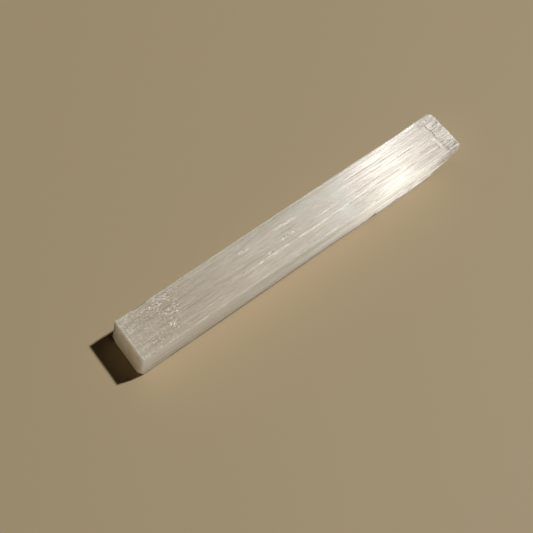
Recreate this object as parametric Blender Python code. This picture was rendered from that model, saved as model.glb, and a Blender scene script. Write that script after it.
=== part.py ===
"""Selenite crystal blade: a stick of fibrous satin spar, sawn square at one end and broken off at
the other, lying on its flat underside.

Frame: metres, +Z up. +X runs along the fibres from the sawn end to the broken end, -Y is the near
long side, and the origin is the middle of the underside.
"""

import math
import random
from collections import namedtuple

import bmesh
import bpy
from mathutils import Matrix, Vector, noise

MM = 0.001

# Driving dimensions
LENGTH = 200.0 * MM
WIDTH = 23.1 * MM
HEIGHT = 18.2 * MM
SAWN_SLANT = math.radians(-0.6)  # how far each end is turned about +Z from square
BROKEN_SLANT = math.radians(2.5)
SLANT_REACH = 6.0 * MM  # the slant of an end is taken up within this length of it

HALF_LENGTH = LENGTH / 2
HALF_WIDTH = WIDTH / 2

# Fibre bundles: each long face is a row of them, each at its own depth that changes along X
BUNDLES_ACROSS = 12
BUNDLES_HIGH = 8
RISER = 0.30 * MM  # width of the slope from one bundle to the next
BUNDLE_STEP = 0.30 * MM  # the most that a bundle lies below the face
STATION = 5.6 * MM  # spacing of the sections along X where a bundle's depth may change
SWELL = 0.10 * MM  # slow unevenness of the split faces

# Arrises: the first line of each face lies ARRIS_MARGIN in, and the arris itself is worn by ARRIS_WEAR
ARRIS_MARGIN = 1.1 * MM
ARRIS_WEAR = 0.32 * MM
BACK_FOOT_WEAR = 1.3 * MM  # the lower back arris is rounder than the others
UNDERCUT_START = -83.0 * MM  # from here on the lower near arris is split away
UNDERCUT_RISE = 1.3 * MM
UNDERCUT_DEPTH = 0.8 * MM

# Ends
BROKEN_STEP = 1.5 * MM  # the fibre ends at the broken end stand this much apart
SAWN_STEP = 0.08 * MM
END_MARGIN = 3.2 * MM  # the last section before each end, further in than the deepest fibre end

# A ledge is a layer split off a face: it lies deeper from start to end, and from low to high across
Ledge = namedtuple("Ledge", "face start end low high depth")
LEDGES = (
    Ledge("top", -35.5 * MM, 30.0 * MM, -HALF_WIDTH, -4.6 * MM, 0.30 * MM),
    Ledge("top", 3.0 * MM, 52.0 * MM, 6.1 * MM, HALF_WIDTH, 0.18 * MM),
    Ledge("top", 92.6 * MM, HALF_LENGTH, -HALF_WIDTH, 8.6 * MM, 0.25 * MM),
    Ledge("back", -30.0 * MM, 3.6 * MM, 0.0, HEIGHT, 0.40 * MM),
    Ledge("back", 45.0 * MM, 79.0 * MM, 0.0, HEIGHT, 0.25 * MM),
    Ledge("back", -78.0 * MM, -8.0 * MM, 0.0, 5.0 * MM, 0.50 * MM),
    Ledge("back", 14.0 * MM, 88.0 * MM, 9.5 * MM, 13.0 * MM, 0.35 * MM),
    Ledge("near", 62.0 * MM, 92.0 * MM, 0.0, 5.0 * MM, 0.45 * MM),
    Ledge("near", -64.0 * MM, 8.0 * MM, 9.5 * MM, 13.0 * MM, 0.25 * MM),
)

# A groove is a split between two bundles, at a fixed place across the face
Groove = namedtuple("Groove", "face start end across depth")
GROOVES = (
    Groove("top", 30.0 * MM, 63.0 * MM, -4.6 * MM, 0.45 * MM),
    Groove("top", -76.5 * MM, -52.0 * MM, -7.4 * MM, 0.30 * MM),
    Groove("top", 68.0 * MM, 75.7 * MM, 1.2 * MM, 0.45 * MM),
    Groove("top", 57.0 * MM, 70.0 * MM, 6.1 * MM, 0.45 * MM),
    Groove("bottom", -48.0 * MM, 26.0 * MM, 6.1 * MM, 0.45 * MM),
)
GROOVE_LIP = 0.30 * MM  # from a groove's floor to where the face is whole again

# A crack runs across the fibres of the top face
Crack = namedtuple("Crack", "place low high depth")
CRACKS = (
    Crack(92.2 * MM, -2.2 * MM, 8.8 * MM, 0.40 * MM),
    Crack(89.4 * MM, -7.6 * MM, -3.8 * MM, 0.40 * MM),
    Crack(-35.5 * MM, -4.9 * MM, -3.2 * MM, 0.40 * MM),
)
CRACK_LIP = 0.35 * MM

# A chip is a piece broken off an arris: a rough face through point, facing outward, of that extent.
# It is lifted towards its two ends along the fibres, where a splinter runs out. All are in mm.
Chip = namedtuple("Chip", "name point outward size rough lift")
CHIPS = (
    Chip("broken_foot", (93.2, -8.2, 5.5), (0.388, -0.809, -0.441), (70, 40, 18), 0.55, 0.0),
    Chip("broken_back_corner", (99.3, 10.7, 11.0), (0.62, 0.77, 0.12), (12, 30, 6), 0.25, 0.0),
    Chip("broken_near_arris", (97.6, -10.9, 17.7), (0.35, -0.55, 0.76), (9, 6, 4), 0.20, 0.6),
    Chip("sawn_near_foot", (-99.2, -10.4, 0.9), (-0.45, -0.55, -0.70), (10, 12, 5), 0.15, 0.0),
    Chip("sawn_back_foot", (-99.3, 10.2, 1.3), (-0.38, 0.62, -0.69), (10, 12, 5), 0.15, 0.0),
    Chip("foot_nick", (43.6, -10.8, 1.0), (0.05, -0.62, -0.78), (5.0, 5, 4), 0.10, 0.6),
    Chip("back_splinter", (-35.0, 10.2, 1.3), (0.01, 0.72, -0.69), (64, 6, 4), 0.25, 1.6),
    Chip("back_flake", (66.0, 10.9, 17.1), (0.02, 0.86, 0.51), (30, 5, 3), 0.15, 1.0),
    Chip("back_chip", (-84.0, 11.0, 17.3), (-0.04, 0.70, 0.71), (11, 4, 3), 0.12, 0.9),
)
CHIP_CUTS = 7  # how finely a chip's face is broken up, along each side
CHIP_GRAIN = (0.10, 0.75)  # per mm: long along the fibres and short across them

SATIN_COLOUR = (0.80, 0.77, 0.72, 1.0)
SATIN_ROUGHNESS = 0.34
SEED = 29


def clear_scene():
    for obj in list(bpy.data.objects):
        bpy.data.objects.remove(obj, do_unlink=True)


def new_collection(name):
    collection = bpy.data.collections.new(name)
    bpy.context.scene.collection.children.link(collection)
    return collection


def satin_spar():
    """Milky, silky gypsum."""
    material = bpy.data.materials.new("satin_spar")
    material.use_nodes = True
    shader = material.node_tree.nodes["Principled BSDF"]
    shader.inputs["Base Color"].default_value = SATIN_COLOUR
    shader.inputs["Roughness"].default_value = SATIN_ROUGHNESS
    shader.inputs["Metallic"].default_value = 0.0
    shader.inputs["IOR"].default_value = 1.52
    return material


def ledge_edges(faces, low, high):
    """Where the ledges of those faces begin and end across them."""
    edges = {edge for ledge in LEDGES if ledge.face in faces for edge in (ledge.low, ledge.high)}
    return {edge for edge in edges if low < edge < high}


def borders(low, high, count, fixed):
    """Where bundles meet across a face: the fixed places, with the widest gaps split at uneven shares."""
    draw = random.Random(SEED + count)
    places = sorted([low + ARRIS_MARGIN, high - ARRIS_MARGIN, *fixed])
    while len(places) < count:
        widths = [b - a for a, b in zip(places, places[1:])]
        widest = widths.index(max(widths))
        share = draw.uniform(0.38, 0.62)
        places.insert(widest + 1, places[widest] + share * widths[widest])
    return places


def lines_at(places, fixed):
    """The lattice lines of those borders: two for each riser, and two more beside each groove."""
    lines = []
    for place in places:
        lines += [place - RISER / 2, place + RISER / 2]
        if place in fixed:
            lines += [place - RISER / 2 - GROOVE_LIP, place + RISER / 2 + GROOVE_LIP]
    return sorted(lines)


def stations():
    """Sections along X: uneven spacing, with three close ones at each crack."""
    draw = random.Random(SEED)
    wanted = [crack.place + side * CRACK_LIP for crack in CRACKS for side in (-1, 0, 1)]
    wanted += [-HALF_LENGTH + END_MARGIN, HALF_LENGTH - END_MARGIN]
    count = int(LENGTH / STATION)
    for i in range(1, count):
        place = -HALF_LENGTH + (i + draw.uniform(-0.3, 0.3)) * LENGTH / count
        if min(abs(place - other) for other in wanted) > 0.3 * STATION:
            wanted.append(place)
    return sorted(wanted)


class Bundles:
    """The fibre bundles of one face: which one a place is in, and how deep it lies along X."""

    def __init__(self, name, places, flat=()):
        draw = random.Random(f"{name}{SEED}")
        self.places = places
        self.levels = []
        for k in range(len(places) + 1):
            breaks = sorted(draw.uniform(-0.47, 0.47) * LENGTH for _ in range(draw.randint(1, 4)))
            depths = [BUNDLE_STEP * draw.random() ** 1.4 for _ in range(len(breaks) + 1)]
            self.levels.append((breaks, [0.0] * len(depths) if k in flat else depths))

    def index(self, across):
        return sum(across > place for place in self.places)

    def depth(self, x, across):
        breaks, depths = self.levels[self.index(across)]
        return depths[sum(x > place for place in breaks)]


class Blade:
    """The lattice of the stick and the depth of every point of its six faces."""

    def __init__(self):
        grooves = {groove.across for groove in GROOVES}
        fixed_across = grooves | ledge_edges(("top", "bottom"), -HALF_WIDTH, HALF_WIDTH)
        fixed_high = ledge_edges(("near", "back"), 0.0, HEIGHT)
        self.across = borders(-HALF_WIDTH, HALF_WIDTH, BUNDLES_ACROSS, fixed_across)
        self.high = borders(0.0, HEIGHT, BUNDLES_HIGH, fixed_high)
        self.lines_across = lines_at(self.across, grooves)
        self.lines_high = lines_at(self.high, ())
        middle = sum(0.0 > place for place in self.across)
        resting = (1, 2, middle, len(self.across) - 2, len(self.across) - 1)
        self.faces = {
            "top": Bundles("top", self.across),
            "bottom": Bundles("bottom", self.across, flat=resting),
            "near": Bundles("near", self.high),
            "back": Bundles("back", self.high),
        }
        self.fibre_ends = random.Random(SEED * 7)
        self.end_steps = {}

    def side_depth(self, face, x, across):
        """How far a point of a long face lies inside the full box."""
        bundles = self.faces[face]
        depth = bundles.depth(x, across)
        if face != "bottom":
            swell = noise.noise(Vector((x / (40 * MM), across / (9 * MM), len(face))))
            depth += SWELL * (0.5 + 0.5 * swell)
        for ledge in LEDGES:
            inside = ledge.low <= across <= ledge.high
            if ledge.face == face and ledge.start < x < ledge.end and inside:
                depth += ledge.depth
        for groove in GROOVES:
            at_groove = abs(across - groove.across) < RISER
            if groove.face == face and groove.start < x < groove.end and at_groove:
                depth += groove.depth
        if face == "top":
            for crack in CRACKS:
                if abs(x - crack.place) < CRACK_LIP / 2 and crack.low < across < crack.high:
                    depth += crack.depth
        return depth

    def end_depth(self, step, y, z):
        """How far a fibre bundle's end lies inside the full box."""
        column = self.faces["top"].index(y)
        cell = (column, self.faces["near"].index(z))
        for key in (column, cell):
            if key not in self.end_steps:
                self.end_steps[key] = self.fibre_ends.random() ** 1.6
        wide = 0.5 + 0.5 * noise.noise(Vector((y / (5 * MM), z / (5 * MM), 3.0)))
        return step * (0.45 * self.end_steps[column] + 0.2 * self.end_steps[cell] + 0.35 * wide)

    def moved(self, point):
        """Where a point of the plain box's surface goes."""
        x, y, z = point
        tiny = 0.01 * MM
        on_top = z > HEIGHT - tiny
        on_bottom = z < tiny
        on_near = y < -HALF_WIDTH + tiny
        on_back = y > HALF_WIDTH - tiny
        new = Vector(point)
        if on_top:
            new.z -= self.side_depth("top", x, y)
        if on_bottom:
            new.z += self.side_depth("bottom", x, y)
        if on_near:
            new.y += self.side_depth("near", x, z)
        if on_back:
            new.y -= self.side_depth("back", x, z)
        if (on_top or on_bottom) and (on_near or on_back):
            new += self.arris_wear(x, on_top, on_near)
        if x < -HALF_LENGTH + tiny:
            new.x += self.end_depth(SAWN_STEP, y, z)
        if x > HALF_LENGTH - tiny:
            new.x -= self.end_depth(BROKEN_STEP, y, z)
        return new + self.slanted(x, y)

    def arris_wear(self, x, on_top, on_near):
        """How far an arris is worn inwards: more in some places than in others."""
        uneven = 1.0 + 0.6 * noise.noise(Vector((x / (7 * MM), 5.0 * on_top, 3.0 * on_near)))
        inward_y = 1.0 if on_near else -1.0
        if on_top:
            return Vector((0, inward_y, -1.0)) * ARRIS_WEAR * uneven
        if not on_near:
            return Vector((0, inward_y, 0.9)) * BACK_FOOT_WEAR * 0.6 * uneven
        if x > UNDERCUT_START:
            return Vector((0, UNDERCUT_DEPTH, UNDERCUT_RISE)) * uneven * 0.8
        return Vector((0, inward_y, 1.0)) * ARRIS_WEAR * uneven

    def slanted(self, x, y):
        """The turn of the nearer end, faded out over SLANT_REACH. It only takes the end inwards."""
        sawn = max(0.0, 1.0 - (x + HALF_LENGTH) / SLANT_REACH)
        broken = max(0.0, 1.0 - (HALF_LENGTH - x) / SLANT_REACH)
        inwards = math.tan(-SAWN_SLANT) * (HALF_WIDTH - y) * sawn
        inwards -= math.tan(BROKEN_SLANT) * (HALF_WIDTH - y) * broken
        return Vector((inwards, 0, 0))

    def mesh(self):
        """A box cut into the lattice by planes, with its points moved."""
        bm = bmesh.new()
        bmesh.ops.create_cube(bm, size=1.0)
        bmesh.ops.scale(bm, vec=(LENGTH, WIDTH, HEIGHT), verts=bm.verts)
        bmesh.ops.translate(bm, vec=(0, 0, HEIGHT / 2), verts=bm.verts)
        cuts = [(Vector((x, 0, 0)), Vector((1, 0, 0))) for x in stations()]
        cuts += [(Vector((0, y, 0)), Vector((0, 1, 0))) for y in self.lines_across]
        cuts += [(Vector((0, 0, z)), Vector((0, 0, 1))) for z in self.lines_high]
        for place, normal in cuts:
            everything = bm.verts[:] + bm.edges[:] + bm.faces[:]
            bmesh.ops.bisect_plane(
                bm, geom=everything, dist=1e-7, plane_co=place, plane_no=normal
            )
        for vert in bm.verts:
            vert.co = self.moved(vert.co)
        bmesh.ops.triangulate(bm, faces=bm.faces)
        mesh = bpy.data.meshes.new("selenite_blade")
        bm.to_mesh(mesh)
        bm.free()
        return mesh


def chip_cutter(chip, collection):
    """A block whose lower face is the chip's rough surface. Its own +Z is the chip's outward side."""
    length, width, thickness = (side * MM for side in chip.size)
    bm = bmesh.new()
    bmesh.ops.create_cube(bm, size=1.0)
    bmesh.ops.scale(bm, vec=(length, width, thickness), verts=bm.verts)
    bmesh.ops.translate(bm, vec=(0, 0, thickness / 2), verts=bm.verts)
    bmesh.ops.subdivide_edges(bm, edges=bm.edges[:], cuts=CHIP_CUTS, use_grid_fill=True)
    for vert in bm.verts:
        fade = 1 - vert.co.z / thickness
        along, across = (axis * grain / MM for axis, grain in zip(vert.co.xy, CHIP_GRAIN))
        rough = chip.rough * noise.noise(Vector((along, across, 0)) + Vector(chip.point))
        lift = chip.lift * (2 * vert.co.x / length) ** 4
        vert.co.z += fade * (rough + lift) * MM
    bmesh.ops.recalc_face_normals(bm, faces=bm.faces)
    mesh = bpy.data.meshes.new(chip.name)
    bm.to_mesh(mesh)
    bm.free()

    outward = Vector(chip.outward).normalized()
    across = outward.cross(Vector((1, 0, 0))).normalized()
    along = across.cross(outward)
    turn = Matrix((along, across, outward)).transposed().to_4x4()
    cutter = bpy.data.objects.new(chip.name, mesh)
    cutter.matrix_world = Matrix.Translation(Vector(chip.point) * MM) @ turn
    cutter.hide_render = True
    cutter.display_type = "WIRE"
    collection.objects.link(cutter)
    return cutter


def fit_to_size(blade):
    """Stretches the chipped crystal, by under 0.5%, so that its extents are the driving dimensions."""
    graph = bpy.context.evaluated_depsgraph_get()
    mesh = bpy.data.meshes.new_from_object(blade.evaluated_get(graph))
    blade.modifiers.clear()
    blade.data = mesh
    low = Vector(min(vert.co[i] for vert in mesh.vertices) for i in range(3))
    high = Vector(max(vert.co[i] for vert in mesh.vertices) for i in range(3))
    wanted = Vector((LENGTH, WIDTH, HEIGHT))
    stretch = Vector(wanted[i] / (high[i] - low[i]) for i in range(3))
    foot = Vector(((low.x + high.x) / 2, (low.y + high.y) / 2, low.z))
    mesh.transform(Matrix.Diagonal(stretch).to_4x4() @ Matrix.Translation(-foot))


def selenite_blade(collection, cutters):
    blade = bpy.data.objects.new("selenite_blade", Blade().mesh())
    blade.data.materials.append(satin_spar())
    collection.objects.link(blade)
    for chip in CHIPS:
        cut = blade.modifiers.new(chip.name, "BOOLEAN")
        cut.operation = "DIFFERENCE"
        cut.solver = "EXACT"
        cut.object = chip_cutter(chip, cutters)
    fit_to_size(blade)
    return blade


def main():
    clear_scene()
    crystal = new_collection("Selenite crystal blade")
    cutters = new_collection("Cutters")
    selenite_blade(crystal, cutters)


main()
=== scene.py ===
"""Selenite crystal blade, dressed: the fine fibrous surface of a satin-spar stick, and its studio.

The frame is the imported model's: metres, +Z up, +X along the fibres from the sawn end to the broken
end, -Y the near long side, the origin in the middle of the underside.
"""

import math
import random
from collections import namedtuple
from functools import partial

import bmesh
import bpy
import numpy as np
from mathutils import Matrix, Vector, noise


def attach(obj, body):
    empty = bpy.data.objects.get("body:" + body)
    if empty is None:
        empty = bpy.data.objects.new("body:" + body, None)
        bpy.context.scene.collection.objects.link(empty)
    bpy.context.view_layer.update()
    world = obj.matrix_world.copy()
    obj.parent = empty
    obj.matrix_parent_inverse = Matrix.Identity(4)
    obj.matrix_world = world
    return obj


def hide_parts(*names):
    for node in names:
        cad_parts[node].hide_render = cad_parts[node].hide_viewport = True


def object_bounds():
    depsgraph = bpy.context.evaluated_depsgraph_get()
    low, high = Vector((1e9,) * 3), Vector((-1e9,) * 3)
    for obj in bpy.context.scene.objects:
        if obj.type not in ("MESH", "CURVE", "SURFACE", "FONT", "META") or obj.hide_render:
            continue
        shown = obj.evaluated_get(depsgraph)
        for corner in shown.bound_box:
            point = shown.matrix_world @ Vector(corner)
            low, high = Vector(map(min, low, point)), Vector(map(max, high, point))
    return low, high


bl_info = {
    "name": "Selenite Crystal Blade",
    "version": (1, 0, 0),
    "blender": (4, 5, 0),
    "location": "3D View > Sidebar > Selenite",
    "description": "Models the surface of a satin-spar stick on its solid, and sets a studio for it",
    "category": "Object",
}

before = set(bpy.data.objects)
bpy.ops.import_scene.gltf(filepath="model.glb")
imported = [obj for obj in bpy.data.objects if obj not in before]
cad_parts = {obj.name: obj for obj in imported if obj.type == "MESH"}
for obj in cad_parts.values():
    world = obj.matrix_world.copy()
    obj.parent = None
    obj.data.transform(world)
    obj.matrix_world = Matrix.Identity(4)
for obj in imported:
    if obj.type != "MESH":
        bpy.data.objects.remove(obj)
CAD_LOW, CAD_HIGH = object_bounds()

MM = 0.001
NODE = "selenite_blade"

LENGTH, WIDTH, HEIGHT = CAD_HIGH - CAD_LOW
HALF_LENGTH = LENGTH / 2
HALF_WIDTH = WIDTH / 2
TINY = 0.01 * MM  # a point this close to a face lies on it

# The range across each long face, along Y or Z
SPANS = {
    "top": (-HALF_WIDTH, HALF_WIDTH), "bottom": (-HALF_WIDTH, HALF_WIDTH),
    "near": (0.0, HEIGHT), "back": (0.0, HEIGHT),
}

# ---------------------------------------------------------------- the form of the solid, repeated

SAWN_SLANT = math.radians(2.7)  # the sawn end's turn about +Z from square
SAWN_LEAN = 0.8 * MM  # how far its top leans back
BROKEN_SLANT = math.radians(0.3)  # the broken end's turn about +Z from square
SLANT_REACH = 6.0 * MM  # both ends' turn and lean are taken up within this length
END_ROUND = 0.4 * MM  # radius of the sawn end's top arris

BORDERS_ACROSS = 12  # between the fibre bundles of the top and the underside
BORDERS_HIGH = 8  # between those of the two sides
RISER = 0.30 * MM  # width of the slope from one bundle to the next
ARRIS_MARGIN = 1.1 * MM  # the outermost borders lie this far in
UNDERCUT_START = -83.0 * MM  # the lower near arris is cut back from here on
FORM_SEED = 29
SEED_SHIFT = 17.3  # each seed reads the noise this many cells further on

# A ledge is where a layer is split off: it lies deeper from start to end along X, and across from
# low to high
Ledge = namedtuple("Ledge", "face start end low high depth")
LEDGES = (
    Ledge("top", -35.5 * MM, 30.0 * MM, -HALF_WIDTH, -4.6 * MM, 0.30 * MM),
    Ledge("top", 3.0 * MM, 52.0 * MM, 6.1 * MM, HALF_WIDTH, 0.18 * MM),
    Ledge("top", 92.6 * MM, HALF_LENGTH, -HALF_WIDTH, 8.6 * MM, 0.25 * MM),
    Ledge("back", -30.0 * MM, 3.6 * MM, 0.0, HEIGHT, 0.40 * MM),
    Ledge("back", 45.0 * MM, 79.0 * MM, 0.0, HEIGHT, 0.25 * MM),
    Ledge("back", -78.0 * MM, -8.0 * MM, 0.0, 5.0 * MM, 0.50 * MM),
    Ledge("back", 14.0 * MM, 88.0 * MM, 9.5 * MM, 13.0 * MM, 0.35 * MM),
    Ledge("near", 62.0 * MM, 92.0 * MM, 0.0, 5.0 * MM, 0.45 * MM),
    Ledge("near", -64.0 * MM, 8.0 * MM, 9.5 * MM, 13.0 * MM, 0.25 * MM),
)
# How far a ledge's end runs out on each face, and how much of the solid's ledge the surface keeps
LEDGE_ENDS = {"top": (26 * MM, 0.3), "near": (8 * MM, 0.2), "back": (1.6 * MM, 1.0)}
LAST_LEDGE_END = (0.5 * MM, 0.2)  # the same for the ledge that runs to the broken end

# A groove is a split along the border of two bundles
Groove = namedtuple("Groove", "face start end across depth")
GROOVES = (
    Groove("top", 30.0 * MM, 63.0 * MM, -4.6 * MM, 0.45 * MM),
    Groove("top", -76.5 * MM, -52.0 * MM, -7.4 * MM, 0.30 * MM),
    Groove("top", 68.0 * MM, 75.7 * MM, 1.2 * MM, 0.45 * MM),
    Groove("top", 57.0 * MM, 70.0 * MM, 6.1 * MM, 0.45 * MM),
    Groove("bottom", -48.0 * MM, 26.0 * MM, 6.1 * MM, 0.45 * MM),
)
GROOVE_FADE = 8.0 * MM  # a groove's ends run out over this length
GROOVE_LIP = 0.30 * MM  # its walls reach this far beyond half a riser
TOP_GROOVE_SHARE = 0.08  # of its depth, as on top it is mostly a dark line, partly painted shade

# A crack runs across the fibres of the top, from low to high
Crack = namedtuple("Crack", "place low high depth")
CRACKS = (
    Crack(92.2 * MM, -2.2 * MM, 8.8 * MM, 0.40 * MM),
    Crack(89.4 * MM, -7.6 * MM, -3.8 * MM, 0.40 * MM),
    Crack(-35.5 * MM, -4.9 * MM, -3.2 * MM, 0.40 * MM),
)
CRACK_BEND = 0.35 * MM  # how far it winds to either side, in a sine wave
CRACK_WAVE = 1.3 * MM  # the width of one radian of that wave
CRACK_FLOOR = 0.1 * MM  # half the width of its floor
CRACK_LIP = 0.3 * MM  # half its width at the top, and the length of its ends
CRACK_SHARE = 0.2  # of its depth, as it is mostly a dark line

# A chip is a rough face where an arris is broken off, through a point in mm. It faces outward, it is
# that long in mm along the fibres, and it lifts at both its ends, so that it runs out there
Chip = namedtuple("Chip", "point outward length rough lift")
CHIPS = (
    Chip((93.7, -9.9, 5.0), (0.26, -0.85, -0.46), 70, 0.55, 0.0),
    Chip((99.6, 11.1, 11.0), (0.62, 0.77, 0.12), 12, 0.25, 0.0),
    Chip((98.7, -11.4, 18.1), (0.35, -0.55, 0.76), 9, 0.20, 0.6),
    Chip((-99.2, -10.4, 0.9), (-0.45, -0.55, -0.70), 10, 0.15, 0.0),
    Chip((-99.3, -11.1, 4.0), (-0.84, -0.50, -0.20), 14, 0.10, 0.0),
    Chip((-99.3, 10.2, 1.3), (-0.38, 0.62, -0.69), 10, 0.15, 0.0),
    Chip((43.6, -10.8, 1.0), (0.05, -0.62, -0.78), 5, 0.10, 0.6),
    Chip((-35.0, 10.2, 1.3), (0.01, 0.72, -0.69), 64, 0.25, 1.6),
    Chip((-84.0, 11.25, 17.55), (-0.04, 0.70, 0.71), 11, 0.12, 0.9),
)
CHIP_DEPTH = 1.5  # points further inside a chip's face than this, in mm, are left alone
CHIP_GRAIN = (0.10, 0.75)  # cells per mm along the fibres and across them
FINER_GRAIN = (3, 4, 1)  # how many times finer the second grain is
FINER_SHARE = 0.3

# ---------------------------------------------------------------- the surface, finer than the solid

GAP_SHARES = (0.38, 0.62)  # the widest gap between two borders is split at a share between these
BUNDLE_BREAKS = 4  # the most steps along a bundle
BREAK_REACH = 0.47  # a bundle's steps lie within this share of the length to either side
DEPTH_SKEW = 1.4  # above 1, more of the bundles lie close to the face
OUTER_BUNDLE = 1 * MM  # the width of the bundles beyond the outermost borders
BUNDLE_SHARES = {"top": 0.1, "bottom": 1.0, "near": 0.3, "back": 1.0}  # of the bundle step
# How long a bundle's step along X takes, and how far it may run slantwise across the bundle
BUNDLE_SLOPES = {"top": 30 * MM, "bottom": 8 * MM, "near": 30 * MM, "back": 8 * MM}
BUNDLE_TAPERS = {"top": 9 * MM, "bottom": 0.0, "near": 9 * MM, "back": 9 * MM}

FIBRE_WIDTHS = (0.35, 1.1)  # in mm
FIBRE_MARGIN = 0.5 * MM
FIBRE_BREAKS = 5  # the most steps along a single fibre
FIBRE_SLOPE = 18 * MM
FIBRE_TAPER = 4 * MM

SWELL_SIZE = (70 * MM, 9 * MM, 1.0)
SWELL_SEEDS = {"top": 3, "near": 4, "back": 4}  # the underside has no swell and no single fibres

# Where lattice lines crowd together: how widely, and how strongly
END_CROWD = (9 * MM, 1.6)
RISER_CROWD = (0.3 * MM, 2.0)
CROWD_SAMPLES = 4000

# The fibre ends stand apart by a step, which fades out over a margin along X
SAWN_STEP = 0.08 * MM
END_MARGIN = 3.2 * MM
SAWN_SEED = 3
BROKEN_SEED = 7
FIBRE_END = (0.9 * MM, 1.6 * MM)  # width and height of one fibre's end
END_WAVE = 2 * MM  # their rows rise and fall in a sine wave, and this is one radian of it
END_SKEW = 2.5  # above 1, more of the fibres reach the end
END_SHARES = (0.25, 0.15, 0.45)  # of the step, for columns of bundles, bundles and fibres
END_SWELL = 0.15  # the share of a slow swell
END_SWELL_SIZE = (5 * MM, 5 * MM, 1.0)
BUNDLE_ROWS = 31  # more than an end has, so that each bundle has its own number
FIBRE_ROWS = 57  # the same for its fibres

ARRIS_REACH = 0.45 * MM  # how far from an arris its wear begins
ARRIS_CURVE = 2.2  # 1 would be a flat bevel
SLOW_WEAR = (7 * MM, 1.0, 1.0)  # the wear swells and thins over this length
FAST_WEAR = (1.7 * MM, 1.0, 1.0)  # and the bites follow each other this closely
WEAR_LEAST, WEAR_MORE = 0.3, 0.8
TOP_WEAR = 0.5  # the upper arrises' share of the wear
NIBBLE_ABOVE = 0.62  # only the noise above this bites
NIBBLE_GAIN = 2.5
# The lower back arris is rounder, by its own wear and reach
FOOT_REACH = 1.5 * ARRIS_MARGIN
FOOT_WEAR = 0.78 * MM
FOOT_LEAST, FOOT_MORE = 0.6, 0.8
FOOT_RISE = 0.9
# The lower near arris is cut back further, inwards and upwards
UNDERCUT_IN = 0.20 * MM
UNDERCUT_UP = 0.35 * MM
UNDERCUT_FADE = 1 * MM

SMOOTH_ANGLE = math.radians(32)
END_NORMAL = 0.75  # a face at an end that looks along X by more than this is of fibre ends
SIDE_NORMAL = 0.6  # a face that looks along Y by more than this belongs to a side

# ---------------------------------------------------------------- marks on the surface, in mm

# A streak whitens (or, below 0, darkens) a line along the fibres: start, end, across, width, tone
Streak = namedtuple("Streak", "start end across width tone")
STREAKS = {
    "top": (
        (-89.6, -80.8, -4.05, 0.25, 0.5), (-75.4, -51.1, -7.35, 0.25, 0.7),
        (-71.9, -51.1, -11.2, 0.25, 0.4), (-40.2, -5.4, -11.2, 0.25, 0.1),
        (5.5, 15.4, -11.2, 0.25, 0.4), (-8.2, -3.8, 5.4, 0.40, 1.6), (-2.8, 3.2, 5.1, 0.45, 1.8),
        (-30.6, -26.6, 5.1, 0.40, 1.2), (11.4, 25.3, -1.0, 0.25, 0.6),
        (-34.7, 2.5, -4.6, 0.45, 1.0), (2.5, 28.3, -4.6, 0.40, 0.7),
        # The dark lines along the grooves, from 30.3 to 85.4 mm, are partly the splits, partly painted
        # shade in them
        (30.3, 42.2, -4.55, 0.18, -0.9), (44.2, 63.0, -4.45, 0.18, -0.8),
        (57.1, 70.0, 6.1, 0.18, -0.8), (68.0, 75.6, 1.2, 0.18, -0.9),
        (79.9, 85.4, -3.6, 0.18, -0.8), (68.0, 73.0, -6.3, 0.50, -0.4),
        (66.0, 87.8, -11.2, 0.25, 0.6), (-34.7, 26.3, -7.4, 2.60, 0.15),
        (-49.1, -19.3, -1.4, 1.40, -0.05), (93.3, 99.8, -5.9, 0.60, 1.3),
        (95.3, 98.8, 1.2, 0.40, 0.8), (92.8, 99.8, -9.0, 1.20, -0.45),
        (97.3, 99.8, 4.9, 0.60, -0.7), (97.8, 99.8, 2.0, 0.50, -0.8), (93.8, 97.3, 7.2, 0.40, -0.6),
    ),
    "near": (
        # The light and dark lines 3.4, 5.1 and 7.4 mm high, from 60.1 mm on, are painted light and shade
        # of the near ledge's risers, besides their ribs in the relief
        (60.1, 91.8, 3.4, 0.70, 0.5), (60.1, 93.8, 5.1, 0.40, -0.7), (60.1, 93.8, 7.4, 0.90, 0.6),
        (72.0, 95.8, 12.6, 1.50, -0.3), (70.0, 95.8, 15.6, 0.60, 0.3),
        # The dark spots 1.4 mm high, at 41.5 and 57.5 mm, are painted shadow in the notches at the foot
        (68.0, 75.9, 16.8, 0.40, -0.5), (41.5, 44.5, 1.4, 1.00, -1.0),
        (57.5, 60.5, 1.4, 0.80, -0.8),
    ),
}
STREAK_FADE = 1.5  # its ends run out over this length
STREAK_LEAST = 0.35  # its strength where the patches are thinnest

# More streaks on each long face, short and faint
RANDOM_STREAKS = 70
RANDOM_STARTS = (-98, 90)
RANDOM_LENGTHS = (2, 16)
RANDOM_WIDTH = 0.3
RANDOM_TONES = (0.35, 0.25, 0.2, -0.25)
MARK_SEED = 5

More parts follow.
